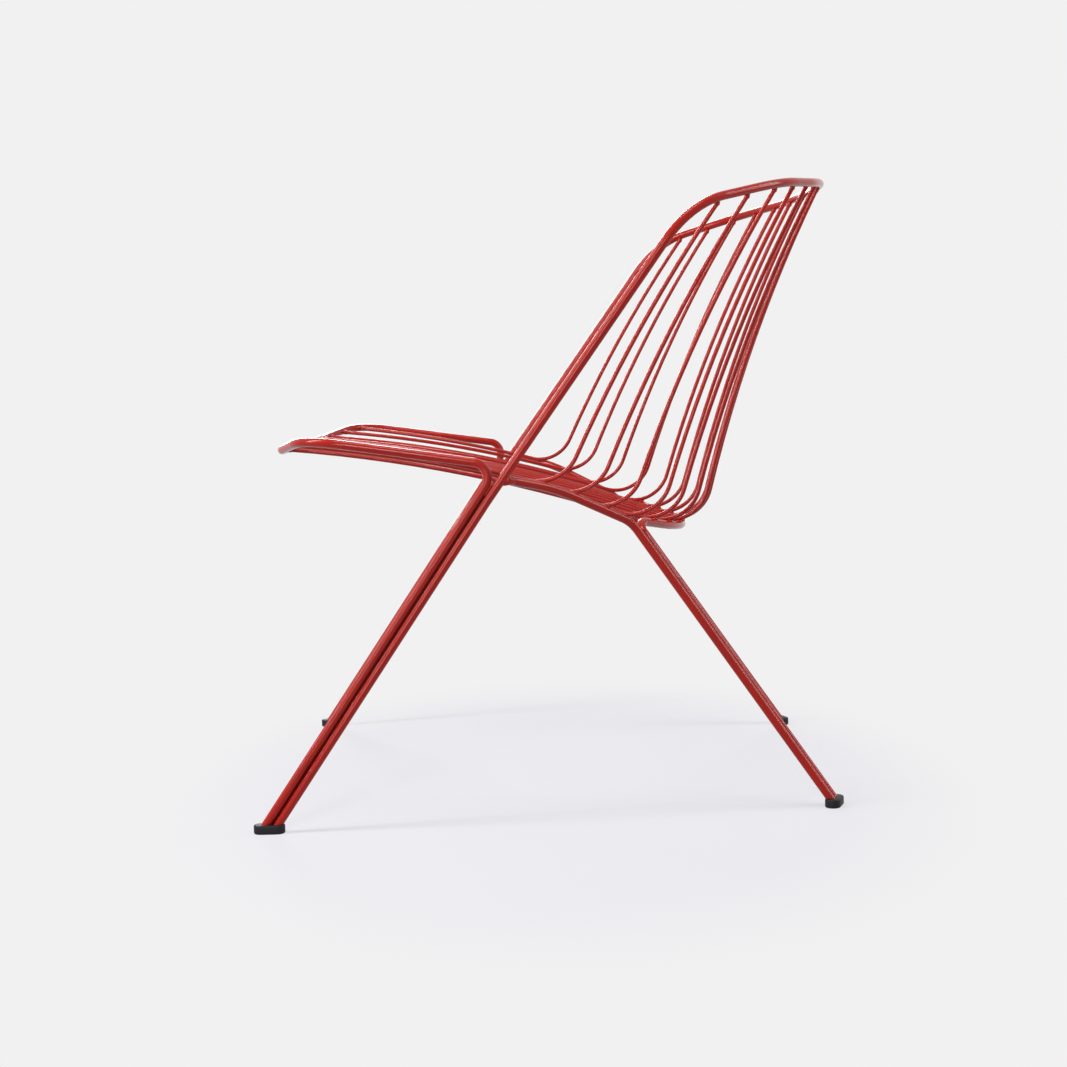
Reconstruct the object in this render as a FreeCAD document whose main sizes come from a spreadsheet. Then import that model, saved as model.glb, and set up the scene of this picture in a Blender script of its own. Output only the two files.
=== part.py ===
import FreeCAD, Part
import math
import os

import Sketcher
from FreeCAD import Placement, Rotation, Vector

# Welded steel-rod lounge chair. X is across the seat, with +X on the sitter's left,
# -Y is the front, Z is up, and the origin lies on the floor under the middle of the chair.
# Lengths are in millimetres and angles in degrees.
SIZES = {
    # Round stock and the way it is joined
    "rod_diameter": 10,
    "wire_diameter": 5,
    "pair_gap": 1,
    "touch_gap": 0.05,
    # Front legs and back uprights, which are one rod on each side
    "front_spread": 324.4,
    "front_foot_reach": 315.7,
    "front_rake": 34.4,
    "side_lean": 0.6,
    "joint_height": 363.5,
    "joint_bend_radius": 600,
    "upright_rake": 35.9,
    # Rim of the back, each corner placed from the one before it
    "rim_height": 681.1,
    "rim_bend_radius": 102,
    "rim_side_inset": 83.2,
    "rim_side_run": 109.8,
    "rim_side_rise": 28.1,
    "rim_side_radius": 169,
    "rim_corner_inset": 89.9,
    "rim_corner_run": 45.2,
    "rim_corner_rise": 6.9,
    "rim_corner_radius": 156,
    "rim_rear_run": 45.9,
    "rim_rear_rise": 13,
    "rim_rear_straight": 13,
    # Seat rails and front bar, each corner placed from the one before it
    "seat_bend_rise": 38.5,
    "seat_bend_radius": 17,
    "crest_inset": 9.5,
    "crest_run": 213.9,
    "crest_rise": 33.3,
    "crest_radius": 66,
    "nose_inset": 103.2,
    "nose_run": 39,
    "nose_drop": 14.6,
    "nose_radius": 60,
    # Side rails that run down into the rear legs
    "side_start_rise": 23.5,
    "side_mid_inset": 41.7,
    "side_mid_run": 56.9,
    "side_mid_drop": 14,
    "side_mid_radius": 224,
    "rear_corner_inset": 51.2,
    "rear_corner_run": 87.8,
    "rear_corner_drop": 44.2,
    "rear_corner_radius": 30,
    "rear_spread": 263.2,
    "rear_foot_reach": 320.1,
    # Rear hoop, the second rod of each rear leg and the bar under the wires
    "rear_pair_angle": 20,
    "bar_corner_radius": 22,
    "bar_run": 107.8,
    "bar_drop": 32.1,
    "bar_straight": 50,
    # Wires of the seat and back
    "wires_per_side": 8,
    "front_pitch": 40,
    "rim_pitch": 45.4,
    "side_wires": 4,
    "side_first": 66.6,
    "side_pitch": 44.2,
    "bar_pitch": 48.2,
    "seat_crown_radius": 1690,
    "wire_bend_radius": 47,
    "wire_lead": 25.4,
    "back_curve_radius": 1790,
    # Plastic glides
    "glide_length": 35,
    "glide_width": 18,
    "glide_height": 10,
    "glide_sole": 2.5,
    "glide_edge": 1.2,
    # Weld beads in the groove between paired rods
    "bead_diameter": 5.6,
    "bead_length": 14,
    "front_bead_drop": 24,
    "rear_bead_drop": 33,
}

doc = FreeCAD.newDocument("lounge_chair")
sheet = doc.addObject("Spreadsheet::Sheet", "sizes")
for row, (alias, value) in enumerate(SIZES.items(), start=1):
    sheet.set(f"A{row}", alias)
    sheet.set(f"B{row}", str(value))
    sheet.setAlias(f"B{row}", alias)
doc.recompute()

sub_parts = []


def size(alias):
    return float(sheet.get(alias))


def slope(alias):
    return math.tan(math.radians(size(alias)))


def mirrored(point):
    return Vector(-point.x, point.y, point.z)


def unit(vector):
    return Vector(vector).normalize()


def keep(thing, label):
    thing.Label = label
    sub_parts.append(thing)
    return thing


# Routes: straight runs joined by tangent arcs
class Route:
    def __init__(self, edges):
        self.edges = edges
        self.length = sum(edge.Length for edge in edges)

    def at(self, distance):
        """The point and direction at a distance along the route."""
        for edge in self.edges:
            if distance <= edge.Length or edge is self.edges[-1]:
                where = edge.getParameterByLength(min(distance, edge.Length))
                return edge.valueAt(where), unit(edge.tangentAt(where))
            distance -= edge.Length


def arc_edge(start, middle, end):
    return Part.Arc(start, middle, end).toShape()


def rounded_route(corners, radii):
    edges = []
    start = corners[0]
    for before, corner, after, radius in zip(corners, corners[1:], corners[2:], radii):
        back, ahead = unit(before - corner), unit(after - corner)
        half = back.getAngle(ahead) / 2
        reach = radius / math.tan(half)
        depth = radius / math.sin(half) - radius
        first, last = corner + back * reach, corner + ahead * reach
        edges.append(Part.LineSegment(start, first).toShape())
        edges.append(arc_edge(first, corner + unit(back + ahead) * depth, last))
        start = last
    edges.append(Part.LineSegment(start, corners[-1]).toShape())
    return Route(edges)


def rod(label, route, diameter_alias):
    """A round rod along a route."""
    spine = doc.addObject("Part::Feature", f"{label}_route")
    spine.Shape = Part.Wire(route.edges)
    section = doc.addObject("Part::Circle", f"{label}_section")
    section.setExpression("Radius", f"sizes.{diameter_alias} / 2")
    start, direction = route.at(0)
    section.Placement = Placement(start, Rotation(Vector(0, 0, 1), direction))
    sweep = doc.addObject("Part::Sweep", f"{label}_rod")
    sweep.Sections = [section]
    sweep.Spine = (spine, [f"Edge{number}" for number in range(1, len(route.edges) + 1)])
    sweep.Solid = True
    return sweep


def cut(label, base, tool):
    result = doc.addObject("Part::Cut", label)
    result.Base = base
    result.Tool = tool
    return result


def cylinder(label, start, direction, radius, height):
    """A cylinder whose radius and height are expressions on the sheet."""
    tool = doc.addObject("Part::Cylinder", label)
    tool.setExpression("Radius", radius)
    tool.setExpression("Height", height)
    tool.Placement = Placement(start, Rotation(Vector(0, 0, 1), direction))
    return tool


rod_radius = size("rod_diameter") / 2
wire_radius = size("wire_diameter") / 2
pair_spacing = size("rod_diameter") + size("pair_gap")

# Corner points of the +X side
class Corners:
    """The points where the rods' straight runs would meet, with reaches counted from a datum in Y."""

    def __init__(self, datum):
        lean = -slope("side_lean")
        self.front_floor = Vector(size("front_spread"), datum - size("front_foot_reach"), 0)
        self.leg = Vector(lean, slope("front_rake"), 1)
        self.upright = Vector(lean, slope("upright_rake"), 1)
        self.front_shift = Vector(0, -pair_spacing / math.cos(math.radians(size("front_rake"))), 0)
        self.joint = self.front_floor + self.leg * size("joint_height")

        self.rim_start = self.joint + self.upright * (size("rim_height") - size("joint_height"))
        self.rim_side = self.rim_start + Vector(
            -size("rim_side_inset"), size("rim_side_run"), size("rim_side_rise"))
        self.rim_corner = self.rim_side + Vector(
            -size("rim_corner_inset"), size("rim_corner_run"), size("rim_corner_rise"))
        self.rim_rear = Vector(
            0, self.rim_corner.y + size("rim_rear_run"), self.rim_corner.z + size("rim_rear_rise"))

        seat_joint = self.joint + self.front_shift
        self.seat_bend = seat_joint + self.leg * size("seat_bend_rise")
        self.crest = self.seat_bend + Vector(-size("crest_inset"), -size("crest_run"), size("crest_rise"))
        self.nose = self.crest + Vector(-size("nose_inset"), -size("nose_run"), -size("nose_drop"))

        self.side_start = self.joint + self.upright * size("side_start_rise")
        self.side_mid = self.side_start + Vector(
            -size("side_mid_inset"), size("side_mid_run"), -size("side_mid_drop"))
        self.rear_corner = self.side_mid + Vector(
            -size("rear_corner_inset"), size("rear_corner_run"), -size("rear_corner_drop"))
        self.rear_floor = Vector(size("rear_spread"), datum + size("rear_foot_reach"), 0)
        self.rear_leg = unit(self.rear_corner - self.rear_floor)

        pair_angle = math.radians(size("rear_pair_angle"))
        beside = Vector(-math.cos(pair_angle), math.sin(pair_angle), 0)
        self.rear_shift = unit(beside - self.rear_leg * beside.dot(self.rear_leg)) * pair_spacing
        self.bar_corner = self.rear_corner + self.rear_shift
        self.bar_rear = Vector(0, self.bar_corner.y + size("bar_run"), self.bar_corner.z - size("bar_drop"))


def half_angle(before, corner, after):
    return (before - corner).getAngle(after - corner) / 2


def filling_radius(before, corner, rear, corner_radius, straight):
    """The radius of a rear bend that fills the run between two mirrored corners, less a straight."""
    corner_reach = corner_radius / math.tan(half_angle(before, corner, rear))
    rear_reach = (corner - rear).Length - corner_reach - straight
    return rear_reach * math.tan(half_angle(corner, rear, mirrored(corner)))


# The rear bends of the rim and of the bar fill the runs between their corners
first = Corners(0)
rim_rear_radius = filling_radius(first.rim_side, first.rim_corner, first.rim_rear,
                                 size("rim_corner_radius"), size("rim_rear_straight"))
bar_rear_radius = filling_radius(first.rear_floor + first.rear_shift, first.bar_corner, first.bar_rear,
                                 size("bar_corner_radius"), size("bar_straight"))

# The middle of the chair lies between the rear of the rim and the front of the glides or of the nose
rear_half = half_angle(first.rim_corner, first.rim_rear, mirrored(first.rim_corner))
rim_cut_back = rim_rear_radius / math.sin(rear_half) - rim_rear_radius
rim_slope = (first.rim_corner - first.rim_rear) + (mirrored(first.rim_corner) - first.rim_rear)
rearmost = first.rim_rear.y + unit(rim_slope).y * rim_cut_back + rod_radius
glide_middle = first.front_floor + first.front_shift * 0.5 + first.leg * (size("glide_height") / 2)
foremost = min(glide_middle.y - size("glide_length") / 2, first.nose.y - rod_radius)
corners = Corners(-(foremost + rearmost) / 2)
front_direction = unit(corners.leg)
upright_direction = unit(corners.upright)


def rod_end(point, direction):
    """Where a leg's axis ends, so that its square end clears the glide's sole."""
    lowest = size("glide_sole") + rod_radius * math.sin(direction.getAngle(Vector(0, 0, 1)))
    return point + direction * ((lowest - point.z) / direction.z)


seat_foot = rod_end(corners.front_floor + corners.front_shift, front_direction)
back_foot = rod_end(corners.front_floor, front_direction)
side_foot = rod_end(corners.rear_floor, corners.rear_leg)
rear_foot = rod_end(corners.rear_floor + corners.rear_shift, corners.rear_leg)


def both_sides(points, middle=()):
    return list(points) + list(middle) + [mirrored(point) for point in reversed(points)]


# Seat hoop: front leg, seat rail, front bar and back again in one bent rod
seat_half = [size("seat_bend_radius"), size("crest_radius"), size("nose_radius")]
seat_route = rounded_route(
    both_sides([seat_foot, corners.seat_bend, corners.crest, corners.nose]),
    seat_half + seat_half[::-1],
)
seat_hoop = keep(rod("seat_hoop", seat_route, "rod_diameter"), "seat_hoop")

# Back hoop: front leg, upright and rim in one bent rod
back_half = [size("joint_bend_radius"), size("rim_bend_radius"), size("rim_side_radius"),
             size("rim_corner_radius")]
back_route = rounded_route(
    both_sides([back_foot, corners.joint, corners.rim_start, corners.rim_side, corners.rim_corner],
               [corners.rim_rear]),
    back_half + [rim_rear_radius] + back_half[::-1],
)
back_hoop = keep(rod("back_hoop", back_route, "rod_diameter"), "back_hoop")

# Rear hoop: the inner rod of both rear legs and the bar under the wires
bar_route = rounded_route(
    both_sides([rear_foot, corners.bar_corner], [corners.bar_rear]),
    [size("bar_corner_radius"), bar_rear_radius, size("bar_corner_radius")],
)
rear_hoop = keep(rod("rear_hoop", bar_route, "rod_diameter"), "rear_hoop")

# Side rails, each coped to the upright that carries it, and bent down as the outer rear leg
side_points = [side_foot, corners.rear_corner, corners.side_mid, corners.side_start]
side_radii = [size("rear_corner_radius"), size("side_mid_radius")]
side_route = rounded_route(side_points, side_radii)
for side, turn in (("left", lambda point: point), ("right", mirrored)):
    turned_route = rounded_route([turn(point) for point in side_points], side_radii)
    rail = rod(f"side_rail_{side}", turned_route, "rod_diameter")
    cope_start = turn(corners.side_start - upright_direction * pair_spacing * 2)
    cope = cylinder(f"side_cope_{side}", cope_start, turn(upright_direction),
                    "sizes.rod_diameter / 2", "(sizes.rod_diameter + sizes.pair_gap) * 4")
    keep(cut(f"side_rail_{side}_coped", rail, cope), f"rear_leg_{side}")


# Wires: a crowned seat run, a bend over the rod that carries it, and a back run that leans away
def wire_edges(front, seat, top):
    along = seat - front
    half_chord = along.Length / 2
    ahead = unit(along)
    across = unit(ahead.cross(top - seat))
    up = across.cross(ahead)
    crown = size("seat_crown_radius")
    dip = math.asin(half_chord / crown)
    seat_middle = (front + seat) * 0.5 + up * (crown * (1 - math.cos(dip)))
    seat_heading = ahead * math.cos(dip) - up * math.sin(dip)
    bend, lean = size("wire_bend_radius"), size("back_curve_radius")
    bend_centre = seat + across.cross(seat_heading) * bend
    to_top = top - bend_centre
    reach = ((bend + lean) ** 2 - lean ** 2 + to_top.Length ** 2) / (2 * to_top.Length)
    offset = math.sqrt((bend + lean) ** 2 - reach ** 2)
    behind = unit(to_top).cross(across)
    lean_centre = bend_centre + unit(to_top) * reach + behind * offset
    turn_end = bend_centre + unit(lean_centre - bend_centre) * bend
    bend_middle = bend_centre + unit((seat - bend_centre) + (turn_end - bend_centre)) * bend
    lean_middle = lean_centre + unit((turn_end - lean_centre) + (top - lean_centre)) * lean
    return [arc_edge(front, seat_middle, seat), arc_edge(seat, bend_middle, turn_end),
            arc_edge(turn_end, lean_middle, top)]


def carried_wire(front, carrier, carrier_route, top):
    """The edges of a wire lowered until its bend rests on the rod under it."""
    clear = rod_radius + wire_radius + size("touch_gap")
    ahead = unit(Vector(carrier.x - front.x, carrier.y - front.y, 0))
    rod_axis = Part.Wire(carrier_route.edges)
    low, high = -4 * clear, 4 * clear
    while high - low > size("touch_gap") / 100:
        height = (low + high) / 2
        edges = wire_edges(front, carrier - ahead * size("wire_lead") + Vector(0, 0, height), top)
        if Part.Wire(edges).distToShape(rod_axis)[0] > clear:
            high = height
        else:
            low = height
    return edges


def square_end(rod_point, rod_direction, heading):
    """Where a wire that heads for a rod's axis ends, so that its square end just touches the rod."""
    slant = heading.getAngle(rod_direction)
    clear = rod_radius + wire_radius * abs(math.cos(slant)) + size("touch_gap")
    return rod_point - heading * (clear / math.sin(slant))


wires_per_side = int(size("wires_per_side"))
side_wires = int(size("side_wires"))
for number in range(1, wires_per_side + 1):
    from_middle = wires_per_side - number + 0.5
    front, front_along = seat_route.at(seat_route.length / 2 - from_middle * size("front_pitch"))
    top, top_along = back_route.at(back_route.length / 2 - from_middle * size("rim_pitch"))
    if number <= side_wires:
        carrier_route = side_route
        distance = side_route.length - size("side_first") - (number - 1) * size("side_pitch")
    else:
        carrier_route = bar_route
        distance = bar_route.length / 2 - from_middle * size("bar_pitch")
    carrier, _ = carrier_route.at(distance)
    whole = Route(carried_wire(front, carrier, carrier_route, top))
    front_end = square_end(front, front_along, whole.at(0)[1] * -1)
    top_end = square_end(top, top_along, whole.at(whole.length)[1])
    route = Route(carried_wire(front_end, carrier, carrier_route, top_end))
    for side, turn in (("left", lambda point: point), ("right", mirrored)):
        label = f"wire_{side}_{number}"
        edges = [arc_edge(*[turn(point) for point in edge.discretize(3)]) for edge in route.edges]
        keep(rod(label, Route(edges), "wire_diameter"), label)


# Glides: a stadium block under each pair of rods, with a blind socket for each rod
def glide_blank(label, centre, angle):
    body = doc.addObject("PartDesign::Body", f"{label}_blank")
    sketch = body.newObject("Sketcher::SketchObject", f"{label}_outline")
    plane = next(item for item in body.Origin.OriginFeatures if item.Role == "XY_Plane")
    sketch.AttachmentSupport = [(plane, "")]
    sketch.MapMode = "FlatFace"
    half_run = (size("glide_length") - size("glide_width")) / 2
    end_radius = size("glide_width") / 2
    up = Vector(0, 0, 1)
    left_end, right_end = Vector(-half_run, 0, 0), Vector(half_run, 0, 0)
    quarter = math.pi / 2
    sketch.addGeometry(Part.ArcOfCircle(Part.Circle(right_end, up, end_radius), -quarter, quarter))
    sketch.addGeometry(Part.ArcOfCircle(Part.Circle(left_end, up, end_radius), quarter, 3 * quarter))
    sketch.addGeometry(Part.LineSegment(Vector(half_run, end_radius, 0), Vector(-half_run, end_radius, 0)))
    sketch.addGeometry(Part.LineSegment(Vector(-half_run, -end_radius, 0), Vector(half_run, -end_radius, 0)))
    start, end, centre_point = 1, 2, 3
    for first, first_end, second, second_end in ((0, end, 2, start), (2, end, 1, start),
                                                 (1, end, 3, start), (3, end, 0, start)):
        sketch.addConstraint(Sketcher.Constraint("Tangent", first, first_end, second, second_end))
    sketch.addConstraint(Sketcher.Constraint("Symmetric", 0, centre_point, 1, centre_point, -1, 1))
    sketch.addConstraint(Sketcher.Constraint("PointOnObject", 0, centre_point, -1))
    radius = sketch.addConstraint(Sketcher.Constraint("Radius", 0, end_radius))
    run = sketch.addConstraint(Sketcher.Constraint("DistanceX", 1, centre_point, 0, centre_point, 2 * half_run))
    sketch.setExpression(f"Constraints[{radius}]", "sizes.glide_width / 2")
    sketch.setExpression(f"Constraints[{run}]", "sizes.glide_length - sizes.glide_width")
    pad = body.newObject("PartDesign::Pad", f"{label}_pad")
    pad.Profile = sketch
    pad.setExpression("Length", "sizes.glide_height")
    doc.recompute()
    rim_edges = [f"Edge{index}" for index, edge in enumerate(pad.Shape.Edges, start=1)
                 if abs(edge.BoundBox.ZLength) < rod_radius / 1000]
    easing = body.newObject("PartDesign::Chamfer", f"{label}_easing")
    easing.Base = (pad, rim_edges)
    easing.setExpression("Size", "sizes.glide_edge")
    body.Placement = Placement(Vector(centre.x, centre.y, 0), Rotation(up, angle))
    return body


def glide(label, rods, turn):
    """A glide under two rods, each given by its end and its direction up the leg."""
    mid_height = size("glide_height") / 2
    crossings = [end + direction * ((mid_height - end.z) / direction.z) for end, direction in rods]
    centre = turn((crossings[0] + crossings[1]) * 0.5)
    apart = turn(crossings[1]) - turn(crossings[0])
    block = glide_blank(label, centre, math.degrees(math.atan2(apart.y, apart.x)))
    for number, (end, direction) in enumerate(rods, start=1):
        socket = cylinder(f"{label}_socket_{number}", turn(end), turn(direction),
                          "sizes.rod_diameter / 2", "sizes.glide_height * 3")
        block = cut(f"{label}_cut_{number}", block, socket)
    keep(block, label)


# Weld beads: weld metal in the groove between paired rods, on both faces of the pair
def weld(label, height, first, second, direction, turn):
    first_axis = first + direction * ((height - first.z) / direction.z)
    second_axis = first_axis + (second - first) - direction * (second - first).dot(direction)
    middle = (first_axis + second_axis) * 0.5 - direction * (size("bead_length") / 2)
    bead = cylinder(f"{label}_metal", turn(middle), turn(direction),
                    "sizes.bead_diameter / 2", "sizes.bead_length")
    for number, axis in enumerate((first_axis, second_axis), start=1):
        start = axis - direction * size("bead_length")
        groove = cylinder(f"{label}_groove_{number}", turn(start), turn(direction),
                          "sizes.rod_diameter / 2", "sizes.bead_length * 2")
        bead = cut(f"{label}_shaped_{number}", bead, groove)
    keep(bead, label)


for side, turn in (("left", lambda point: point), ("right", mirrored)):
    glide(f"front_glide_{side}", [(seat_foot, front_direction), (back_foot, front_direction)], turn)
    glide(f"rear_glide_{side}", [(side_foot, corners.rear_leg), (rear_foot, corners.rear_leg)], turn)
    front_bead = corners.seat_bend.z - size("front_bead_drop")
    rear_bead = corners.rear_corner.z - size("rear_bead_drop")
    weld(f"front_leg_weld_{side}", front_bead, seat_foot, back_foot, front_direction, turn)
    weld(f"rear_leg_weld_{side}", rear_bead, side_foot, rear_foot, corners.rear_leg, turn)

doc.recompute()

# Checks before anything is written
for thing in doc.Objects:
    if "Invalid" in thing.State or "Error" in thing.State:
        raise RuntimeError(f"{thing.Label} failed: {thing.State}")
for thing in sub_parts:
    if thing.Shape.isNull() or not thing.Shape.isValid():
        raise RuntimeError(f"{thing.Label} has no valid shape")

os.makedirs("parts", exist_ok=True)
for thing in sub_parts:
    thing.Shape.exportStep(f"parts/{thing.Label}.step")
print(f"wrote {len(sub_parts)} sub-parts")
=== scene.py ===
# %% [markdown]
# # A welded wire lounge chair
# The chair is bent from steel rod. Two big hoops make the front legs, the edge of the seat and the rim of
# the back. A third hoop and two side rods make the rear legs and the side rails, and sixteen thin wires
# make the seat and back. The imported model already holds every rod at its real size, so this script leaves
# the rods where they are. It adds what a welder and a paint shop add: weld metal at each joint, moulded
# feet, a coat of paint, and a studio to look at it in.

# %% Load the fixed frame
import math

import bmesh
import bpy
from mathutils import Matrix, Vector
from mathutils.bvhtree import BVHTree


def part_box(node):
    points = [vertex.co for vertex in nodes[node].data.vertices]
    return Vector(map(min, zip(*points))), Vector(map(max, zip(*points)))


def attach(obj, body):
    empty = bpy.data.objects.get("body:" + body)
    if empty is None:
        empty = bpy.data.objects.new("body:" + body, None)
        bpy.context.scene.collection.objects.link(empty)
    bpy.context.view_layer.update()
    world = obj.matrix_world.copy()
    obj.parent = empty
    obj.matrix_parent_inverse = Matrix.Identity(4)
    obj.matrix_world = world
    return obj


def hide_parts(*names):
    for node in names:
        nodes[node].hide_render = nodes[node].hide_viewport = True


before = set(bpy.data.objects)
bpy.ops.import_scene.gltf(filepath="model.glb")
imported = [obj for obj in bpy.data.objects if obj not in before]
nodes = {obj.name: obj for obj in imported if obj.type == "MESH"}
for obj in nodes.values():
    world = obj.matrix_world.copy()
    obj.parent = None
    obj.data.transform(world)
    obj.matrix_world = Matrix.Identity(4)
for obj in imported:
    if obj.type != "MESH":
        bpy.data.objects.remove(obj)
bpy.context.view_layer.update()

MM = 0.001

# %% [markdown]
# Paint colours are easiest to pick as screen values, the way a paint chart prints them. Shaders work in
# linear light, so one function turns a hex value into linear numbers. A second small function adds a
# node with its settings and links, which keeps each material readable from top to bottom.

# %% Colours and nodes
def linear(hex_code):
    """A screen colour in linear light, by the standard sRGB curve, with full alpha."""
    channels = [int(hex_code[start:start + 2], 16) / 255 for start in (0, 2, 4)]
    return [c / 12.92 if c <= 0.04045 else ((c + 0.055) / 1.055) ** 2.4 for c in channels] + [1.0]


def add_node(tree, kind, settings=None, inputs=None):
    """Adds a node, sets its properties, and fills or links its sockets by name or number."""
    node = tree.nodes.new(kind)
    for name, value in (settings or {}).items():
        setattr(node, name, value)
    for name, value in (inputs or {}).items():
        if isinstance(value, bpy.types.NodeSocket):
            tree.links.new(value, node.inputs[name])
        else:
            node.inputs[name].default_value = value
    return node


def new_material(name):
    """A material that holds only an output so far, with its node tree and that output."""
    material = bpy.data.materials.new(name)
    material.use_nodes = True
    tree = material.node_tree
    tree.nodes.clear()
    output = add_node(tree, "ShaderNodeOutputMaterial")
    return material, tree, output


def per_metre(size_mm):
    """The scale of a pattern whose features are this many millimetres across."""
    return 1 / (size_mm * MM)


print("white in linear light:", linear("FFFFFF")[0])

# %% [markdown]
# The steel is powder coated: dry polyester powder is sprayed on and baked, so it flows into a skin that
# covers rods and welds alike. It sets to a satin gloss with a faint orange peel, and pools a little
# unevenly, so the red is never quite the same twice. A picture wrapped round the rods would show seams
# at the bends, so the pattern is noise in space instead: a fine noise gives the peel through a bump, and
# a slow one shifts the colour and the gloss. The peel is drawn a little coarse so that it shows.

# %% Red powder coat
PEEL_MM = 2.2
PEEL_DEPTH = 0.08 * MM
POOL_MM = 45
POOL_REDS = ((0.3, "A0170A"), (0.7, "AC1C0E"))
SATIN = (0.14, 0.19)

powder_coat, tree, output = new_material("red_polyester_powder_coat")
place = add_node(tree, "ShaderNodeTexCoord").outputs["Object"]
pool = add_node(tree, "ShaderNodeTexNoise", None,
                {"Vector": place, "Scale": per_metre(POOL_MM), "Detail": 3.0, "Roughness": 0.6})
red = add_node(tree, "ShaderNodeValToRGB", None, {"Fac": pool.outputs["Fac"]})
for stop, (position, tone) in zip(red.color_ramp.elements, POOL_REDS):
    stop.position = position
    stop.color = linear(tone)
peel = add_node(tree, "ShaderNodeTexNoise", None,
                {"Vector": place, "Scale": per_metre(PEEL_MM), "Detail": 2.0, "Roughness": 0.5})
gloss = add_node(tree, "ShaderNodeMapRange", None,
                 {"Value": pool.outputs["Fac"], "To Min": SATIN[0], "To Max": SATIN[1]})
surface = add_node(tree, "ShaderNodeBump", None,
                   {"Height": peel.outputs["Fac"], "Strength": 0.02, "Distance": PEEL_DEPTH})
coat = add_node(tree, "ShaderNodeBsdfPrincipled", None,
                {"Base Color": red.outputs["Color"], "Roughness": gloss.outputs["Result"],
                 "IOR": 1.5, "Specular IOR Level": 0.22, "Normal": surface.outputs["Normal"]})
tree.links.new(coat.outputs["BSDF"], output.inputs["Surface"])
print("made", powder_coat.name)

# %% [markdown]
# The feet are moulded polypropylene, black all through. The mould was lightly spark eroded, so the skin
# is matt with a fine grain, and handling leaves it a little smoother here and there. Two noises do this,
# as on the paint. The grain is drawn coarser than life so that it shows.

# %% Black moulded plastic
GRAIN_MM = 0.8
GRAIN_DEPTH = 0.05 * MM
HANDLED_MM = 12
HANDLED_BLACKS = ("08080B", "121216")
MATT = (0.5, 0.65)

plastic, tree, output = new_material("black_moulded_polypropylene")
place = add_node(tree, "ShaderNodeTexCoord").outputs["Object"]
handled = add_node(tree, "ShaderNodeTexNoise", None,
                   {"Vector": place, "Scale": per_metre(HANDLED_MM), "Detail": 2.0})
black = add_node(tree, "ShaderNodeValToRGB", None, {"Fac": handled.outputs["Fac"]})
for stop, tone in zip(black.color_ramp.elements, HANDLED_BLACKS):
    stop.color = linear(tone)
dullness = add_node(tree, "ShaderNodeMapRange", None,
                    {"Value": handled.outputs["Fac"], "To Min": MATT[0], "To Max": MATT[1]})
grain = add_node(tree, "ShaderNodeTexNoise", None, {"Vector": place, "Scale": per_metre(GRAIN_MM)})
surface = add_node(tree, "ShaderNodeBump", None,
                   {"Height": grain.outputs["Fac"], "Strength": 0.3, "Distance": GRAIN_DEPTH})
moulded = add_node(tree, "ShaderNodeBsdfPrincipled", None,
                   {"Base Color": black.outputs["Color"], "Roughness": dullness.outputs["Result"],
                    "IOR": 1.49, "Specular IOR Level": 0.25, "Normal": surface.outputs["Normal"]})
tree.links.new(moulded.outputs["BSDF"], output.inputs["Surface"])
print("made", plastic.name)

# %% [markdown]
# The rods and wires could be drawn again as curves with a round section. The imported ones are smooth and
# round already, and are sure to be the right size, so they are carried over and only painted.

# %% Paint the rods
for name, node in nodes.items():
    node.data.materials.clear()
    node.data.materials.append(plastic if "glide" in name else powder_coat)
print("painted", len(nodes), "nodes")

# %% [markdown]
# New pieces all end the same way: a bmesh becomes an object that rides on the chair's one body, takes a
# material, and is shaded smooth. Its place stays in its mesh, so shapes are made round the origin and moved
# by a matrix. Two helpers make such matrices.

# %% Finishing a piece
def finish_piece(name, shape, material, replaced=()):
    """Turns a bmesh into a named piece of the chair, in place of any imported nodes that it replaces."""
    mesh = bpy.data.meshes.new(name)
    bmesh.ops.recalc_face_normals(shape, faces=shape.faces)
    for face in shape.faces:
        face.smooth = True
    shape.to_mesh(mesh)
    shape.free()
    mesh.materials.append(material)
    piece = bpy.data.objects.new(name, mesh)
    bpy.context.scene.collection.objects.link(piece)
    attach(piece, "root")
    if replaced:
        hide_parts(*replaced)
    print(name, "has", len(mesh.polygons), "faces")


def upright_at(place, direction):
    """The matrix that stands a shape made along Z at a place, with Z along a direction."""
    return Matrix.Translation(place) @ direction.to_track_quat("Z", "Y").to_matrix().to_4x4()


def turned_to(x_axis, y_axis, z_axis):
    """The matrix that turns a shape until its own axes lie along three directions."""
    return Matrix((x_axis, y_axis, z_axis)).transposed().to_4x4()


lying = upright_at((0, 0, 0), Vector((1, 0, 0)))
print("a shape laid along X has its own Z along", [round(part) for part in lying.col[2].xyz])

# %% [markdown]
# Every weld sits on a rod, so the script keeps asking which point of a rod's skin is nearest to a place.
# Trying each triangle in turn would be slow. A BVH tree sorts the triangles into nested boxes once, and
# then answers quickly.

# %% Rods to weld to
RODS = ("seat_hoop", "back_hoop", "rear_hoop", "rear_leg_left", "rear_leg_right")

depsgraph = bpy.context.evaluated_depsgraph_get()
skins = {name: BVHTree.FromObject(nodes[name], depsgraph) for name in RODS}
wires = [node for name, node in sorted(nodes.items()) if name.startswith("wire_")]
print(len(skins), "rods to weld to,", len(wires), "wires to weld")

# %% [markdown]
# Each wire is cut square and welded end-on to a round rod, so the welder leaves a small flared collar
# that closes the wedge between them. Joining wire and rod with a boolean would give a hard seam and no
# fillet. Instead a short profile is spun round the wire, then the collar's outer ring is pulled onto the
# rod's skin, which bends it into the saddle that a real fillet has. Last, both open ends are filled. They
# lie inside the wire and the rod, and make the collar a closed solid.

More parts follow.
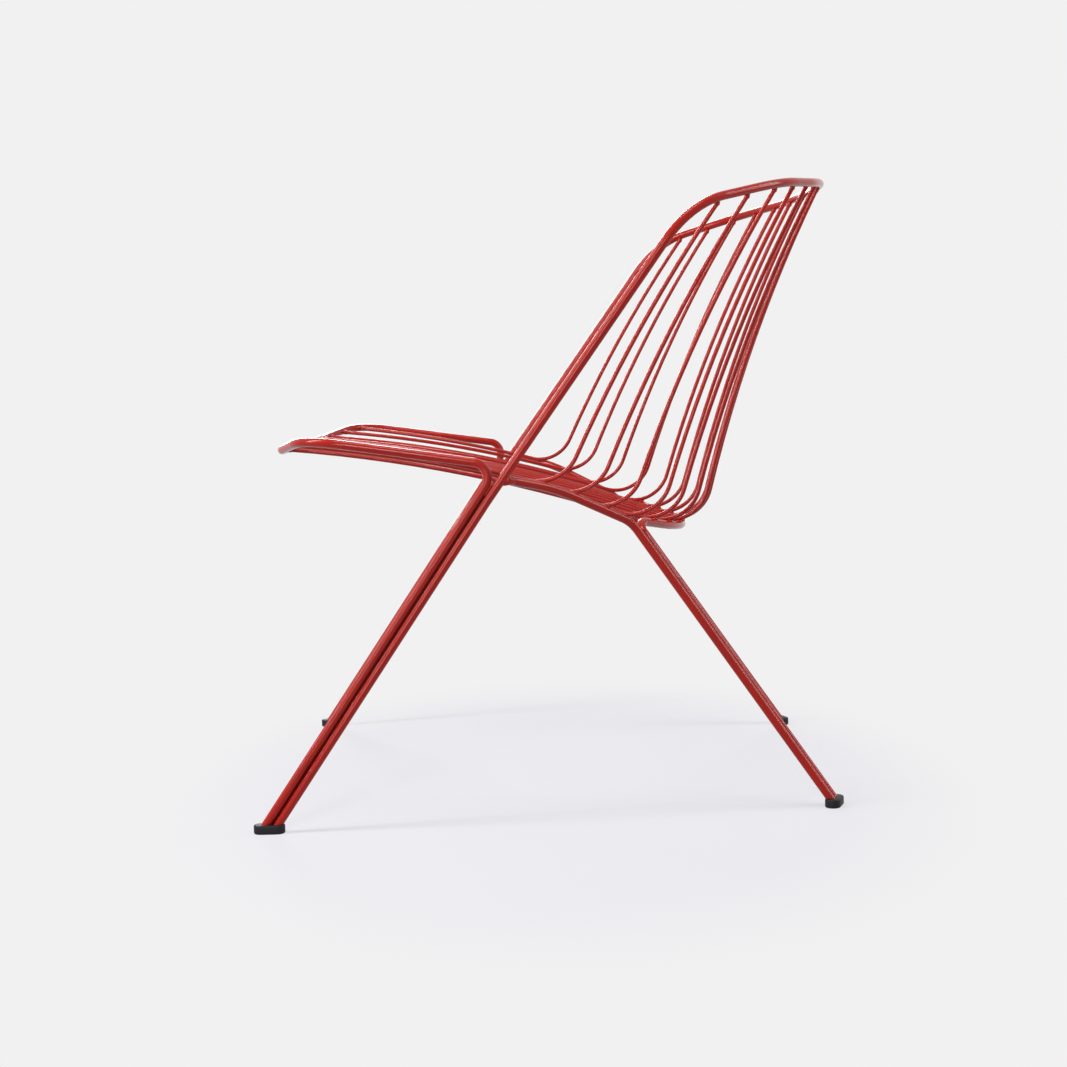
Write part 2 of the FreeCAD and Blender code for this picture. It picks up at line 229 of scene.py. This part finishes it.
# %% A weld collar
FLARE = ((0.98, 2.4), (1.03, 1.75), (1.13, 1.15), (1.34, 0.55), (1.66, 0.1))
COLLAR_STEPS = 20
SINK = 0.25 * MM
LEVEL_SLACK = 0.0025 * MM


def add_collar(shape, foot, away, radius, skin):
    """A flared collar round a rod that stands on another rod; FLARE is in radii, out and up."""
    profile = [shape.verts.new((out * radius, 0, up * radius)) for out, up in FLARE]
    edges = [shape.edges.new(pair) for pair in zip(profile, profile[1:])]
    before = set(shape.verts) - set(profile)
    bmesh.ops.spin(shape, geom=profile + edges, axis=(0, 0, 1), cent=(0, 0, 0), angle=math.tau,
                   steps=COLLAR_STEPS, use_merge=True)
    collar = [vert for vert in shape.verts if vert not in before]
    lowest = FLARE[-1][1] * radius + LEVEL_SLACK
    rim = [vert for vert in collar if vert.co.z < lowest]
    bmesh.ops.transform(shape, matrix=upright_at(foot, away), verts=collar)
    for vert in rim:
        nearest, normal, _, _ = skin.find_nearest(vert.co)
        vert.co = nearest - normal * SINK
    open_edges = [edge for edge in shape.edges if edge.is_boundary]
    bmesh.ops.holes_fill(shape, edges=open_edges)


print("a collar reaches", FLARE[-1][0], "radii out and", FLARE[0][1], "radii up")

# %% [markdown]
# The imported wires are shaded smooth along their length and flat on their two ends, so the flat faces
# show where each wire stops and which way its end faces. That places every collar without a list of
# measured places.

# %% Welds at the wires' ends
SAME_WAY = 0.99


def wire_ends(wire):
    """The middle, the outward direction and the radius of each flat end of a wire."""
    flats = [face for face in wire.data.polygons if not face.use_smooth]
    ends = []
    while flats:
        outward = flats[0].normal.copy()
        cap = [face for face in flats if face.normal.dot(outward) > SAME_WAY]
        flats = [face for face in flats if face not in cap]
        points = [wire.data.vertices[index].co for face in cap for index in face.vertices]
        low = Vector(map(min, *points))
        high = Vector(map(max, *points))
        middle = (low + high) / 2
        ends.append((middle, outward, max((point - middle).length for point in points)))
    return ends


hoops = (skins["seat_hoop"], skins["back_hoop"])
collars = bmesh.new()
for wire in wires:
    for middle, outward, radius in wire_ends(wire):
        skin = min(hoops, key=lambda hoop: hoop.find_nearest(middle)[3])
        add_collar(collars, middle, -outward, radius, skin)
finish_piece("wire_end_welds", collars, powder_coat)

# %% [markdown]
# Where a wire rests across a rod it is held by a small pool of weld metal. The place is where the two
# skins come closest. A flattened ball there shows as a fillet on both sides of the wire, and since most
# of it is hidden, nothing finer is needed.

# %% Weld pools under the wires
RESTS = ("rear_leg_left", "rear_leg_right", "rear_hoop")
WELD_POOL = Vector((3.9, 3.9, 1.9)) * MM


def add_drop(shape, matrix, half_sizes, segments, rings):
    """A ball of weld metal, stretched to three half sizes and put in its place by a matrix."""
    made = bmesh.ops.create_uvsphere(shape, u_segments=segments, v_segments=rings, radius=1)
    stretch = Matrix.Diagonal(half_sizes).to_4x4()
    bmesh.ops.transform(shape, matrix=matrix @ stretch, verts=made["verts"])


pools = bmesh.new()
for wire in wires:
    contacts = []
    for name in RESTS:
        for vert in wire.data.vertices:
            nearest, normal, _, distance = skins[name].find_nearest(vert.co)
            contacts.append((distance, nearest, normal))
    _, contact, normal = min(contacts, key=lambda item: item[0])
    add_drop(pools, upright_at(contact, normal), WELD_POOL, segments=16, rings=10)
finish_piece("wire_rest_welds", pools, powder_coat)

# %% [markdown]
# The side rails are coped, cut to a fish-mouth that fits round the uprights. The weld there is the same
# collar at rod size. Its foot is the middle of the points that touch the upright, and the stretch of rail
# just beyond gives its direction.

# %% Side rail welds
ROD_RADIUS = 5 * MM
TOUCH = 0.4 * MM
BEYOND_FROM = 3 * ROD_RADIUS
BEYOND_TO = 12 * ROD_RADIUS

rail_welds = bmesh.new()
for side in ("left", "right"):
    points = [vert.co for vert in nodes[f"rear_leg_{side}"].data.vertices]
    touching = [point for point in points if skins["back_hoop"].find_nearest(point)[3] < TOUCH]
    foot = sum(touching, Vector()) / len(touching)
    beyond = [point for point in points if BEYOND_FROM < (point - foot).length < BEYOND_TO]
    away = (sum(beyond, Vector()) / len(beyond) - foot).normalized()
    add_collar(rail_welds, foot, away, ROD_RADIUS, skins["back_hoop"])
finish_piece("side_rail_welds", rail_welds, powder_coat)

# %% [markdown]
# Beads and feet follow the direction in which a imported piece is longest. The products of its points'
# offsets make a small matrix, and a vector that is multiplied by it again and again swings round to that
# direction. Any vector that isn't square to it will do as a start.

# %% The longest direction of a piece
START = Vector((0.3, 0.5, 0.8))
ROUNDS = 60


def longest_direction(points):
    """The middle of some points and the direction in which they spread furthest."""
    middle = sum(points, Vector()) / len(points)
    spread = Matrix(((0, 0, 0), (0, 0, 0), (0, 0, 0)))
    for point in points:
        offset = point - middle
        for row in range(3):
            for column in range(3):
                spread[row][column] += offset[row] * offset[column]
    along = START.copy()
    for _ in range(ROUNDS):
        along = (spread @ along).normalized()
    return middle, along


_, weld_direction = longest_direction([vert.co for vert in nodes["front_leg_weld_left"].data.vertices])
print("the left front weld lies along", [round(part, 2) for part in weld_direction])

# %% [markdown]
# Paired rods are tacked together by a bead laid along the groove between them, on both faces of the pair.
# A hand-laid bead is a row of small overlapping puddles, so that is how it is made here: flattened balls
# that run into each other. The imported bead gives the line. It is longest along the leg, and its widest
# point lies straight through the groove.

# %% Weld beads between paired rods
LEG_WELDS = ("front_leg_weld_left", "front_leg_weld_right", "rear_leg_weld_left", "rear_leg_weld_right")
PUDDLES = 5
PUDDLE = Vector((1.7, 2.3, 2.2)) * MM

grooves = []
for name in LEG_WELDS:
    points = [vert.co for vert in nodes[name].data.vertices]
    middle, along = longest_direction(points)
    offsets = [point - middle for point in points]
    reach = max(abs(offset.dot(along)) for offset in offsets)
    aside = [offset - along * offset.dot(along) for offset in offsets]
    through = max(aside, key=lambda offset: offset.length)
    half_depth = through.length
    through.normalize()
    turn = turned_to(through, along.cross(through), along)
    bead = bmesh.new()
    for number in range(PUDDLES):
        for face in (1, -1):
            step = (number / (PUDDLES - 1) * 2 - 1) * (reach - PUDDLE.z)
            centre = middle + along * step + through * (face * (half_depth - PUDDLE.x))
            add_drop(bead, Matrix.Translation(centre) @ turn, PUDDLE, segments=12, rings=8)
    finish_piece(name.replace("weld", "bead"), bead, powder_coat, [name])
    grooves.append((name.replace("leg_weld", "glide"), middle, along if along.z > 0 else -along))

# %% [markdown]
# Below each bead the paired rods run a hair apart. The bottom of a groove as narrow as that lies in deep
# shade, and that shade is painted there: a dull brown black with lighter and darker patches.

# %% Painted groove shade material
PATCH_MM = 9
GROOVE_SHADE_BROWNS = ("150B09", "26120E")

# Painted shade: a dull near-black brown that stands for the shadow deep in the groove between paired rods.
groove_shade_paint, tree, output = new_material("painted_groove_shade")
place = add_node(tree, "ShaderNodeTexCoord").outputs["Object"]
patchy = add_node(tree, "ShaderNodeTexNoise", None,
                  {"Vector": place, "Scale": per_metre(PATCH_MM), "Detail": 2.0})
brown = add_node(tree, "ShaderNodeValToRGB", None, {"Fac": patchy.outputs["Fac"]})
for stop, tone in zip(brown.color_ramp.elements, GROOVE_SHADE_BROWNS):
    stop.color = linear(tone)
dull = add_node(tree, "ShaderNodeBsdfPrincipled", None,
                {"Base Color": brown.outputs["Color"], "Roughness": 0.7, "IOR": 1.5,
                 "Specular IOR Level": 0.1})
tree.links.new(dull.outputs["BSDF"], output.inputs["Surface"])
print("made", groove_shade_paint.name)

# %% [markdown]
# The painted shade runs from the foot up to the bead. A thin round bar down the middle of the groove
# carries it: its sides are inside the rods, so only a narrow dark line of it shows.

# %% Painted shade in the grooves
GROOVE_RADIUS = 1.4 * MM

groove_lines = bmesh.new()
for glide_name, bead_middle, up_leg in grooves:
    foot_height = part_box(glide_name)[1].z
    foot = bead_middle + up_leg * ((foot_height - bead_middle.z) / up_leg.z)
    made = bmesh.ops.create_cone(groove_lines, cap_ends=True, segments=12, radius1=GROOVE_RADIUS,
                                 radius2=GROOVE_RADIUS, depth=(bead_middle - foot).length)
    halfway = (bead_middle + foot) / 2
    bmesh.ops.transform(groove_lines, matrix=upright_at(halfway, up_leg), verts=made["verts"])
# This bar carries the painted groove shade.
finish_piece("painted_groove_shade_line", groove_lines, groove_shade_paint)

# %% [markdown]
# A glide is one moulding that both rods of a leg push into. A box with bevelled corners would come close,
# but its plan is a stadium with half-round ends. So a circle is split in two and the halves are moved
# apart, then it is extruded, and its edges are rounded as a moulding's are.

# %% Glides
GLIDES = ("front_glide_left", "front_glide_right", "rear_glide_left", "rear_glide_right")
EDGE_ROUND = 1.6 * MM
RIM_STEPS = 50

for name in GLIDES:
    flat = [Vector((vert.co.x, vert.co.y, 0)) for vert in nodes[name].data.vertices]
    low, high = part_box(name)
    centre = Vector(((low.x + high.x) / 2, (low.y + high.y) / 2, 0))
    _, along = longest_direction(flat)
    across = along.cross(Vector((0, 0, 1)))
    length = max(abs((point - centre).dot(along)) for point in flat)
    width = max(abs((point - centre).dot(across)) for point in flat)
    glide = bmesh.new()
    bmesh.ops.create_circle(glide, cap_ends=True, segments=RIM_STEPS, radius=width)
    bmesh.ops.rotate(glide, verts=glide.verts, matrix=Matrix.Rotation(math.pi / RIM_STEPS, 3, "Z"))
    for vert in glide.verts:
        vert.co.x += math.copysign(length - width, vert.co.x)
    grown = bmesh.ops.extrude_face_region(glide, geom=glide.faces[:])
    top = [item for item in grown["geom"] if isinstance(item, bmesh.types.BMVert)]
    bmesh.ops.translate(glide, verts=top, vec=(0, 0, high.z - low.z))
    rims = [edge for edge in glide.edges
            if abs(edge.verts[0].co.z - edge.verts[1].co.z) < EDGE_ROUND]
    bmesh.ops.bevel(glide, geom=rims, offset=EDGE_ROUND, segments=4, profile=0.5, affect="EDGES",
                    material=-1)
    turn = Matrix.Rotation(math.atan2(along.y, along.x), 4, "Z")
    bmesh.ops.transform(glide, matrix=Matrix.Translation(centre) @ turn, verts=glide.verts)
    finish_piece(name.replace("glide", "foot"), glide, plastic, [name])

# %% [markdown]
# The studio is a pale floor that runs away to the tone of the background, so that no horizon shows. An
# oval of it round the chair is matt and takes the shadow, with a glow mixed in that keeps the shadow pale.
# Further off it fades into a surface that only shows the background's tone. All this is for the camera
# and for reflections. The light that the floor throws back on the chair comes from a darker grey, so that
# the rods aren't lit much from below.

# %% Floor material
BACKGROUND = linear("F1F1F1")
FLOOR = linear("E6E6EB")
FLOOR_GLOW = 0.72
FLOOR_BOUNCE = linear("9A9A9C")
OVAL_CENTRE = (0.1, 0.0, 0.0)
OVAL_REACH = (0.8, 0.52, 1.0)
FADE_FROM, FADE_TO = 0.55, 1.05


def seen_directly(tree):
    """One for the camera's own rays and for those in reflections and glass, nought for other light."""
    ray = add_node(tree, "ShaderNodeLightPath")
    seen = ray.outputs["Is Camera Ray"]
    for kind in ("Is Glossy Ray", "Is Transmission Ray"):
        either = add_node(tree, "ShaderNodeMath", {"operation": "MAXIMUM"},
                          {0: seen, 1: ray.outputs[kind]})
        seen = either.outputs["Value"]
    return seen


studio_floor, tree, output = new_material("matt_studio_floor")
place = add_node(tree, "ShaderNodeTexCoord").outputs["Object"]
offset = add_node(tree, "ShaderNodeVectorMath", {"operation": "SUBTRACT"}, {0: place, 1: OVAL_CENTRE})
share = add_node(tree, "ShaderNodeVectorMath", {"operation": "DIVIDE"},
                 {0: offset.outputs["Vector"], 1: OVAL_REACH})
distance = add_node(tree, "ShaderNodeVectorMath", {"operation": "LENGTH"}, {0: share.outputs["Vector"]})
fade = add_node(tree, "ShaderNodeMapRange", {"interpolation_type": "SMOOTHSTEP"},
                {"Value": distance.outputs["Value"], "From Min": FADE_FROM, "From Max": FADE_TO})
matt = add_node(tree, "ShaderNodeBsdfDiffuse", None, {"Color": FLOOR})
glow = add_node(tree, "ShaderNodeEmission", None, {"Color": FLOOR})
near = add_node(tree, "ShaderNodeMixShader", None,
                {0: FLOOR_GLOW, 1: matt.outputs["BSDF"], 2: glow.outputs["Emission"]})
far = add_node(tree, "ShaderNodeEmission", None, {"Color": BACKGROUND})
shown = add_node(tree, "ShaderNodeMixShader", None,
                 {0: fade.outputs["Result"], 1: near.outputs["Shader"], 2: far.outputs["Emission"]})
bounce = add_node(tree, "ShaderNodeBsdfDiffuse", None, {"Color": FLOOR_BOUNCE})
mixed = add_node(tree, "ShaderNodeMixShader", None,
                 {0: seen_directly(tree), 1: bounce.outputs["BSDF"], 2: shown.outputs["Shader"]})
tree.links.new(mixed.outputs["Shader"], output.inputs["Surface"])
print("made", studio_floor.name)

# %% [markdown]
# The floor itself is one wide flat disc. It belongs to the studio and not to the chair, so it is not
# attached to the chair's body.

# %% Floor
FLOOR_RADIUS = 30

ground = bmesh.new()
bmesh.ops.create_circle(ground, cap_ends=True, segments=64, radius=FLOOR_RADIUS)
mesh = bpy.data.meshes.new("studio_floor")
ground.to_mesh(mesh)
ground.free()
mesh.materials.append(studio_floor)
floor = bpy.data.objects.new("studio_floor", mesh)
bpy.context.scene.collection.objects.link(floor)
print("floor is", 2 * FLOOR_RADIUS, "m across")

# %% [markdown]
# The world shows the background's tone to the camera and to reflections. To everything else it is only a
# weak white light, because a bright world would light the rods from all sides and take away their shape.

# %% Background
DAYLIGHT = 0.06

world = bpy.data.worlds.new("studio")
bpy.context.scene.world = world
world.use_nodes = True
tree = world.node_tree
tree.nodes.clear()
backdrop = add_node(tree, "ShaderNodeBackground", None, {"Color": BACKGROUND, "Strength": 1.0})
daylight = add_node(tree, "ShaderNodeBackground", None,
                    {"Color": linear("FFFFFF"), "Strength": DAYLIGHT})
mixed = add_node(tree, "ShaderNodeMixShader", None,
                 {0: seen_directly(tree), 1: daylight.outputs["Background"],
                  2: backdrop.outputs["Background"]})
add_node(tree, "ShaderNodeOutputWorld", None, {"Surface": mixed.outputs["Shader"]})
print("made world", world.name)

# %% [markdown]
# Glossy round rods show lamps as thin bright lines along them. Strip lights that lie along the rods give
# clean unbroken lines, where small lamps would give dots. Three lie along the uprights: one in front of
# the chair, one beside the camera and one on the far side. One overhead lies along the seat, and one
# behind lies along the rear legs.

# %% Strip lights
CHAIR_MIDDLE = (0, 0, 0.4)
UPRIGHTS = (0, 0.57, 0.82)
REAR_LEGS = (0, -0.57, 0.82)
SEAT = (0, 1, 0)


def strip_light(name, place, lie, width, length, power):
    """A rectangle of light that faces the chair, with its long side along a direction."""
    lamp = bpy.data.lights.new(name, "AREA")
    lamp.shape = "RECTANGLE"
    lamp.size = width
    lamp.size_y = length
    lamp.energy = power
    back = (Vector(place) - Vector(CHAIR_MIDDLE)).normalized()
    side = Vector(lie).cross(back).normalized()
    strip = bpy.data.objects.new(name, lamp)
    strip.matrix_world = Matrix.Translation(place) @ turned_to(side, back.cross(side), back)
    bpy.context.scene.collection.objects.link(strip)
    print(name, "gives", power, "W")


strip_light("front_strip", (0.72, -2.12, 1.73), UPRIGHTS, width=0.5, length=1.8, power=52)
strip_light("camera_strip", (2.75, -0.81, 0.9), UPRIGHTS, width=0.4, length=1.8, power=34)
strip_light("overhead_strip", (0.6, -0.2, 3.0), SEAT, width=0.6, length=1.2, power=24)
strip_light("rear_strip", (0.2, 2.3, 1.6), REAR_LEGS, width=1.0, length=1.8, power=36)
strip_light("right_strip", (-2.7, -0.5, 1.3), UPRIGHTS, width=0.6, length=1.8, power=42)

# %% [markdown]
# The camera stands at the chair's left side, a little above the seat, as in the photograph. Its place
# and turn were found by matching the rods' ends and crossings, so they are plain measured values.

# %% Camera
PHOTO_SIDE = 1067
FOCAL_PIXELS = 1900
SENSOR_MM = 36
CAMERA_PLACE = Vector((2.4, -0.0067, 0.49952))
YAW, PITCH, ROLL = -0.00807, 0.08309, -0.02633

ahead = Vector((-math.cos(YAW) * math.cos(PITCH), math.sin(YAW) * math.cos(PITCH), -math.sin(PITCH)))
level = Vector((math.sin(YAW), math.cos(YAW), 0))
above = level.cross(ahead)
right = level * math.cos(ROLL) + above * math.sin(ROLL)
up = above * math.cos(ROLL) - level * math.sin(ROLL)

lens = bpy.data.cameras.new("camera")
lens.sensor_width = SENSOR_MM
lens.lens = FOCAL_PIXELS / PHOTO_SIDE * SENSOR_MM
camera = bpy.data.objects.new("camera", lens)
camera.matrix_world = Matrix.Translation(CAMERA_PLACE) @ turned_to(right, up, -ahead)
bpy.context.scene.collection.objects.link(camera)
bpy.context.scene.camera = camera
bpy.context.scene.view_settings.view_transform = "Standard"
print("lens", round(lens.lens, 1), "mm")

# %% [markdown]
# Last, the scene is brought up to date.

# %% Bring the scene up to date
bpy.context.view_layer.update()
